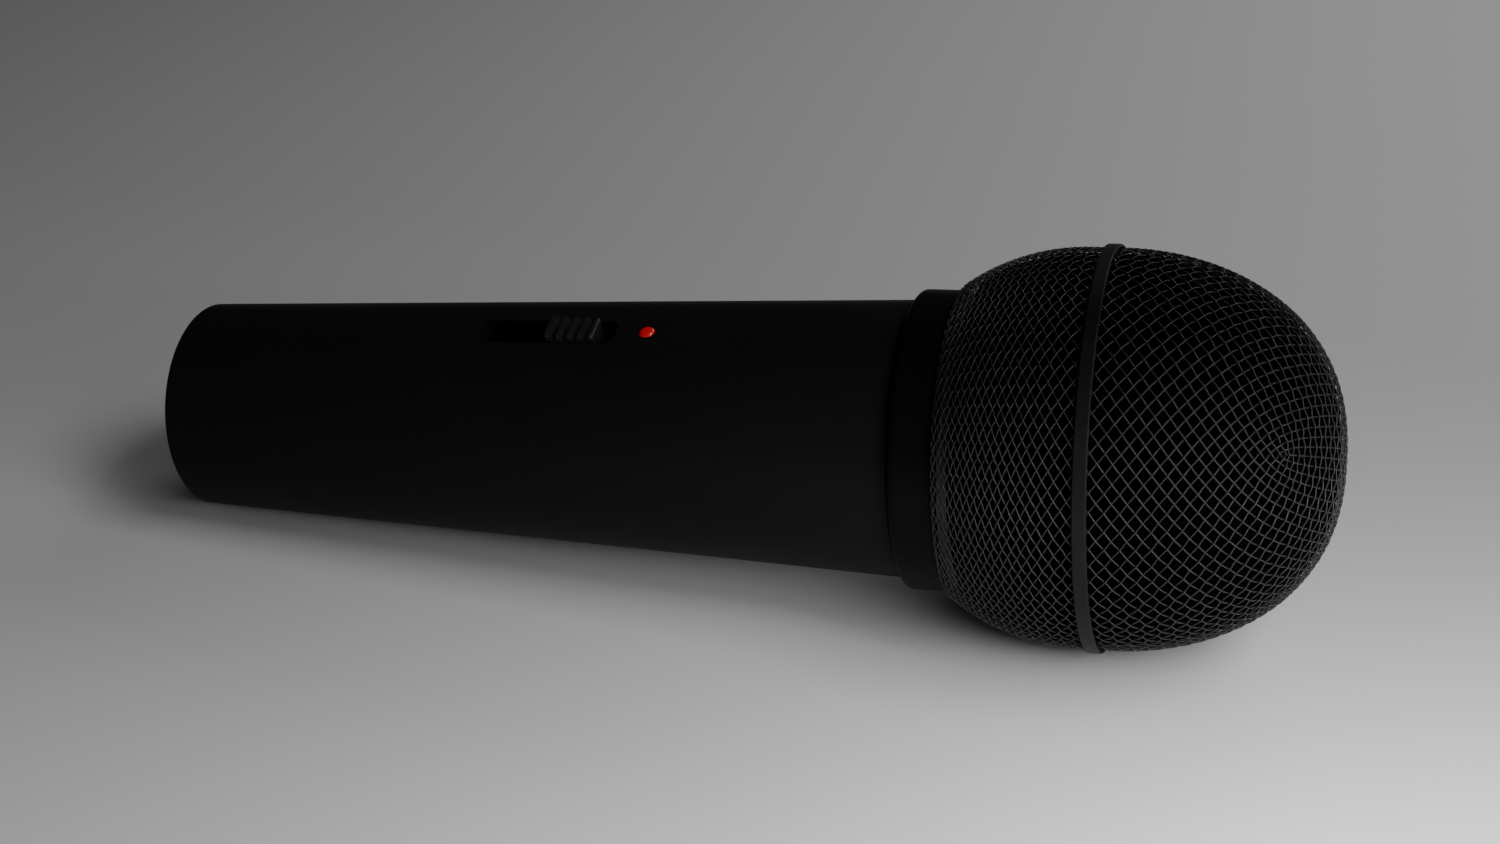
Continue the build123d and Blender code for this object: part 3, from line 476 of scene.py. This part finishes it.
def screw_ridge(name, start, turns, foot_r, crest_r):
    """One helical ridge, from foot_r where it stands to crest_r."""
    bpy.ops.object.select_all(action="DESELECT")
    bpy.ops.mesh.primitive_plane_add(size=1)
    ridge = bpy.context.object
    ridge.name = name
    ridge.data.name = name
    corners = {(-1, -1): RIDGE_FOOT, (1, -1): RIDGE_FOOT, (-1, 1): RIDGE_CREST, (1, 1): RIDGE_CREST}
    for corner in ridge.data.vertices:
        end = 1 if corner.co.x > 0 else -1
        level = 1 if corner.co.y > 0 else -1
        corner.co = (start + end * corners[end, level] / 2, 0, crest_r if level > 0 else foot_r)
    bpy.ops.object.mode_set(mode="EDIT")
    bpy.ops.mesh.select_all(action="SELECT")
    bpy.ops.mesh.delete(type="ONLY_FACE")
    bpy.ops.object.mode_set(mode="OBJECT")
    winding = ridge.modifiers.new("turns", "SCREW")
    winding.axis = "X"
    winding.screw_offset = PITCH
    winding.iterations = turns
    winding.steps = TURN_STEPS
    winding.render_steps = TURN_STEPS
    winding.use_smooth_shade = False
    bpy.ops.object.modifier_apply(modifier=winding.name)
    bpy.ops.object.mode_set(mode="EDIT")
    bpy.ops.mesh.select_all(action="SELECT")
    bpy.ops.mesh.fill_holes(sides=4)
    bpy.ops.mesh.select_all(action="SELECT")
    bpy.ops.mesh.normals_make_consistent(inside=False)
    bpy.ops.object.mode_set(mode="OBJECT")
    seat(ridge)
    bpy.ops.object.shade_smooth_by_angle(angle=radians(35))
    return ridge


THREAD_START = 103.4 * MM
spigot_thread = screw_ridge("spigot_thread", THREAD_START, SPIGOT_TURNS, 15.28 * MM, 16.0 * MM)
thread_finish = lathed("cut_thread", (0.30, 0.30, 0.31), 0.4, metal=0.9)
spigot_thread.data.materials.append(thread_finish.material)
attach(spigot_thread, "handle")

groove_start = THREAD_START + PITCH / 2
collar_thread = screw_ridge("collar_thread", groove_start, COLLAR_TURNS, 16.32 * MM, 15.55 * MM)
collar_thread.data.materials.append(thread_finish.material)
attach(collar_thread, "grille")


# ---- collar, washer and band ----------------------------------------------------------------------
# The turned aluminium collar and the pressed band that holds the two mesh halves, both sprayed in
# a flatter black than the handle. A fibre washer lets the collar slip on its rubber seal.
collar_finish = enamel("collar_enamel", (0.0024, 0.0024, 0.0025), (0.0036, 0.0036, 0.0037), 0.42)
coat("collar", collar_finish)
band_finish = enamel("band_enamel", (0.0045, 0.0045, 0.0047), (0.0065, 0.0065, 0.0067), 0.5, 0.15)
coat("head_band", band_finish)
coat("slip_washer", moulded("fibre_washer", (0.20, 0.05, 0.03), 0.7, 0.5 * MM))


# ---- woven mesh halves ------------------------------------------------------------------------------
# Each half of the ball is drawn from one flat square of woven steel wire, so the net runs slantwise
# round it and closes over the tip in four square fields that meet at four three-wire corners.
WIRE = 0.19 * MM
LIFT = WIRE / 2                   # how far a wire rises and dips as it passes the others
INSET = 0.23 * MM                 # from the ball's outline to the middle of the weave
AROUND = 68                       # cells round the ball
CORNER = AROUND // 4              # cells from the tip to each corner of the net
CORNER_ROLL = radians(61.2)       # where the first corner is, from straight up
CELL = pi / (2 * sqrt(2)) / CORNER
STEPS = 3                         # points on a wire from one crossing to the next
FRONT_END = 14.8                  # cells from a corner to the end of the wires under the band
REAR_START = 15.3                 # cells from a corner to the ends of the rear half's wires
REAR_END = 34.0
REAR_EVEN = 16                    # cells from a corner to the middle of the band

# The outline's sizes, in mm.
BAND_S, BAND_END = 125.33, 127.08
BALL_R = 25.3
DOME, DOME_POWER_S, DOME_POWER_R = 28.2, 2.03, 2.357
REAR_ARC, REAR_ARC_S, REAR_SLOPE, REAR_CORNER = 26.36, 123.25, 35.2, 1.28
COLLAR_SKIRT_R = 17.65


class Outline:
    """The ball's outline as (s, r) places in mm, found by the arc length along it."""

    def __init__(self, places, start, outward):
        self.places = places
        self.outward = outward
        self.arcs = [start]
        for (s, r), (next_s, next_r) in zip(places, places[1:]):
            self.arcs.append(self.arcs[-1] + hypot(next_s - s, next_r - r))

    def at(self, arc, inset):
        """The place at that arc length, moved inwards by inset."""
        index = min(max(bisect_left(self.arcs, arc), 1), len(self.places) - 1)
        (s, r), (next_s, next_r) = self.places[index - 1], self.places[index]
        length = self.arcs[index] - self.arcs[index - 1]
        part = (arc - self.arcs[index - 1]) / length
        out_s = (next_r - r) / length * self.outward
        out_r = (s - next_s) / length * self.outward
        inwards = inset / MM
        return (
            (s + part * (next_s - s) - inwards * out_s) * MM,
            (r + part * (next_r - r) - inwards * out_r) * MM,
        )


def dome_place(quarter):
    """A place on the front half, from the tip (0) to the band (1)."""
    angle = pi / 2 * quarter
    return (
        BAND_END + DOME * cos(angle) ** (2 / DOME_POWER_S),
        BALL_R * sin(angle) ** (2 / DOME_POWER_R),
    )


OUTLINE_STEPS = 600
CORNER_STEPS = 30
REAR_STEPS = 200
front_places = [dome_place(step / OUTLINE_STEPS) for step in range(OUTLINE_STEPS)]
front_outline = Outline([*front_places, (BAND_END, BALL_R), (BAND_S, BALL_R)], 0, 1)

slope = radians(REAR_SLOPE)
arc_r = BALL_R - REAR_ARC
corner_s = REAR_ARC_S - (REAR_ARC - REAR_CORNER) * sin(slope)
corner_r = arc_r + (REAR_ARC - REAR_CORNER) * cos(slope)
rear_places = [(corner_s - REAR_CORNER, COLLAR_SKIRT_R)]
for step in range(CORNER_STEPS + 1):
    angle = pi / 2 + (slope - pi / 2) * step / CORNER_STEPS
    rear_places.append((corner_s - REAR_CORNER * sin(angle), corner_r + REAR_CORNER * cos(angle)))
for step in range(1, REAR_STEPS + 1):
    angle = slope * (1 - step / REAR_STEPS)
    rear_places.append((REAR_ARC_S - REAR_ARC * sin(angle), arc_r + REAR_ARC * cos(angle)))
rear_places.append((BAND_END, BALL_R))
rear_outline = Outline(rear_places, COLLAR_SKIRT_R - corner_r, -1)


def net_slope(place):
    """How fast a place on the flat disc moves for each step along the net."""
    return (1 - place ** 4) ** 0.25


def net_place(x, y):
    """Where crossing (x, y) of one field lies on a flat disc that has the corners at distance 1.
    The net keeps its cells square there, so it is followed in short steps from the tip."""
    place = 0j
    for leg in ((x + y) / 2 * (1 + 1j), (x - y) / 2 * (1 - 1j)):
        count = max(1, round(abs(leg) * 2))
        step = leg * CELL / count
        for _ in range(count):
            first = net_slope(place)
            second = net_slope(place + step * first / 2)
            third = net_slope(place + step * second / 2)
            last = net_slope(place + step * third)
            place += step * (first + 2 * second + 2 * third + last) / 6
    if y == 0 or x - y == CORNER:
        return complex(abs(place), 0)
    if x == 0 or y - x == CORNER:
        return complex(0, abs(place))
    return place


def stations(first, last):
    """Places along a wire, STEPS to a cell."""
    count = ceil((last - first) * STEPS - 0.2)
    return [first + step / STEPS for step in range(count)] + [last]


def on_ball(outline, arc, lift, turn_cos, turn_sin):
    """A point of a wire, at that arc length and that turn from the first corner."""
    s, r = outline.at(arc, INSET - lift * LIFT)
    roll_cos = cos(CORNER_ROLL) * turn_cos - sin(CORNER_ROLL) * turn_sin
    roll_sin = sin(CORNER_ROLL) * turn_cos + cos(CORNER_ROLL) * turn_sin
    return (s, -r * roll_sin, r * roll_cos)


def front_arc(far):
    """Arc length in mm from the tip to a place that is far from the middle of the flat disc."""
    return 20.2 * far - far ** 3 if far <= 1 else 19.2 + 19.35 * log(far)


def rear_arc(cells):
    """Arc length in mm along the rear outline, that many cells from a corner of the net. The cells
    grow shorter towards the collar, where the cloth is drawn in."""
    past = cells - REAR_EVEN
    return 18.9 - 0.945 * past - 2.835 * (1 - exp(-past / 4.5))


def front_wires():
    """The wires of the four fields. Next to a seam between fields a wire keeps its side of the
    weave for two crossings, because round a three-wire corner over and under can't alternate."""
    reach = CORNER + 2 * FRONT_END
    field_lines = []
    for fixed in range(ceil((reach + CORNER) / 2)):
        ends = (max(0, fixed - CORNER), min(fixed + CORNER, reach - fixed))
        if ends[1] - ends[0] < 0.2:
            continue
        for family in ((1, -1) if fixed else (-1,)):
            line = []
            for moving in stations(*ends):
                x, y = (fixed, moving) if family > 0 else (moving, fixed)
                over_x = max(x, y - CORNER + 1) if family < 0 else x
                over_y = min(y, x + CORNER - 1) if family > 0 else y
                line.append((net_place(x, y), family * cos(pi * over_x) * cos(pi * over_y)))
            field_lines.append(line)
    wires = []
    for field in range(4):
        for line in field_lines:
            wire = []
            for place, lift in line:
                far = abs(place)
                turn = place / far * 1j ** field if far else 1
                lifted = lift * (-1) ** field
                arc = front_arc(far)
                wire.append(on_ball(front_outline, arc, lifted, turn.real, turn.imag))
            wires.append(wire)
    return wires


def rear_wires():
    """The wires behind the band. They close up evenly, so over and under alternate all round."""
    wires = []
    for fixed in range(AROUND):
        for family in (1, -1):
            wire = []
            for moving in stations(2 * REAR_START, 2 * REAR_END):
                other = moving + CORNER - fixed
                x, y = (fixed, other) if family > 0 else (other, fixed)
                turn = pi / 4 - (x - y) * pi / AROUND
                lift = family * cos(pi * x) * cos(pi * y)
                arc = rear_arc(moving / 2)
                wire.append(on_ball(rear_outline, arc, lift, cos(turn), sin(turn)))
            wires.append(wire)
    return wires


def woven(name, wires, node):
    """Drawn wires along those lines, as one mesh that stands for a CAD shell."""
    lines = bpy.data.curves.new(name, "CURVE")
    lines.dimensions = "3D"
    lines.fill_mode = "FULL"
    lines.bevel_depth = WIRE / 2
    lines.bevel_resolution = 1
    lines.use_fill_caps = True
    for wire in wires:
        spline = lines.splines.new("POLY")
        spline.points.add(len(wire) - 1)
        for point, place in zip(spline.points, wire):
            point.co = (*place, 1)
        spline.use_smooth = True
    mesh = bpy.data.objects.new(name, lines)
    bpy.context.scene.collection.objects.link(mesh)
    bpy.ops.object.select_all(action="DESELECT")
    mesh.select_set(True)
    bpy.context.view_layer.objects.active = mesh
    bpy.ops.object.convert(target="MESH")
    mesh.data.name = name
    seat(mesh)
    mesh.data.materials.clear()
    mesh.data.materials.append(wire_finish.material)
    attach(mesh, "grille")
    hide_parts(node)


wire_finish = Finish("wire_enamel", {"Specular IOR Level": 0.5})
dipped = wire_finish.noise(wire_finish.place(), 0.25 * MM, 3)
handled = wire_finish.noise(wire_finish.place(), 12 * MM, 3)
mixed = dipped * 0.5 + handled * 0.5
wire_tone = wire_finish.blend(mixed, (0.0065, 0.0065, 0.0067), (0.012, 0.012, 0.0124))
wire_finish.set(Base_Color=wire_tone, Roughness=0.36 + (dipped - 0.5) * 0.2)
wire_finish.relief(dipped, 0.008 * MM)
woven("woven_front", front_wires(), "front_mesh")
woven("woven_rear", rear_wires(), "rear_mesh")


# ---- foam liners ----------------------------------------------------------------------------------
# Two caps of black open-cell foam are pressed in behind the mesh, to stop breath and wind.
FOAM_GAP = 0.75 * MM              # from the ball's outline to the foam
FOAM = 3.0 * MM
FOAM_SIDES = 128
FOAM_RINGS = 40
POLE_R = 0.01 * MM                # rings at the tip are drawn this small, and then merged
REAR_FOAM = (3.6, 19.7)           # arc lengths of the rear cap's two edges, in mm
foam_finish = Finish("open_foam", {"Specular IOR Level": 0.02, "Roughness": 0.95})
cells = foam_finish.node(
    "ShaderNodeTexVoronoi",
    {"feature": "DISTANCE_TO_EDGE"},
    {"Vector": foam_finish.place(), "Scale": 1 / (0.45 * MM)},
)
pore_depth_and_shade = foam_finish.clamped(cells * 5)
# painted shade: the middle of each pore is drawn darker than the cell walls
foam_finish.set(Base_Color=foam_finish.blend(pore_depth_and_shade, (0.0016, 0.0016, 0.0017), (0.0004, 0.0004, 0.0004)))
foam_finish.relief(1 - pore_depth_and_shade, 0.12 * MM)


def foam_cap(name, outline, edges, node):
    """Foam of even thickness behind part of the ball's outline, drawn out ring by ring."""
    start, end = edges
    arcs = [start + (end - start) * step / FOAM_RINGS for step in range(FOAM_RINGS + 1)]
    outside = [outline.at(arc, FOAM_GAP) for arc in arcs]
    inside = [outline.at(arc, FOAM_GAP + FOAM) for arc in arcs]
    rings = [*outside, *reversed(inside), outside[0]]
    (s, r), *following = [(ring_s, max(ring_r, POLE_R)) for ring_s, ring_r in rings]
    bpy.ops.object.select_all(action="DESELECT")
    bpy.ops.mesh.primitive_circle_add(
        vertices=FOAM_SIDES, radius=r, location=(s, 0, 0), rotation=(0, pi / 2, 0)
    )
    cap = bpy.context.object
    cap.name = name
    cap.data.name = name
    bpy.ops.object.transform_apply(location=True, rotation=True, scale=True)
    bpy.ops.object.mode_set(mode="EDIT")
    bpy.ops.mesh.select_all(action="SELECT")
    for next_s, next_r in following:
        bpy.ops.mesh.extrude_region_move(TRANSFORM_OT_translate={"value": (next_s - s, 0, 0)})
        grow = next_r / r
        bpy.ops.transform.resize(value=(1, grow, grow), center_override=(next_s, 0, 0))
        s, r = next_s, next_r
    bpy.ops.mesh.select_all(action="SELECT")
    bpy.ops.mesh.remove_doubles(threshold=3 * POLE_R)
    bpy.ops.mesh.delete_loose()
    bpy.ops.mesh.select_all(action="SELECT")
    bpy.ops.mesh.normals_make_consistent(inside=False)
    bpy.ops.object.mode_set(mode="OBJECT")
    lumps = bpy.data.textures.new(name + "_lumps", "CLOUDS")
    lumps.noise_scale = 2.2 * MM
    uneven = cap.modifiers.new("uneven", "DISPLACE")
    uneven.texture = lumps
    uneven.texture_coords = "LOCAL"
    uneven.mid_level = 1.0
    uneven.strength = 0.12 * MM
    bpy.ops.object.modifier_apply(modifier=uneven.name)
    seat(cap)
    bpy.ops.object.shade_smooth()
    cap.data.materials.append(foam_finish.material)
    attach(cap, "grille")
    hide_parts(node)


foam_cap("foam_cap_front", front_outline, (0, front_outline.arcs[-2]), "foam_front")
foam_cap("foam_cap_rear", rear_outline, REAR_FOAM, "foam_rear")
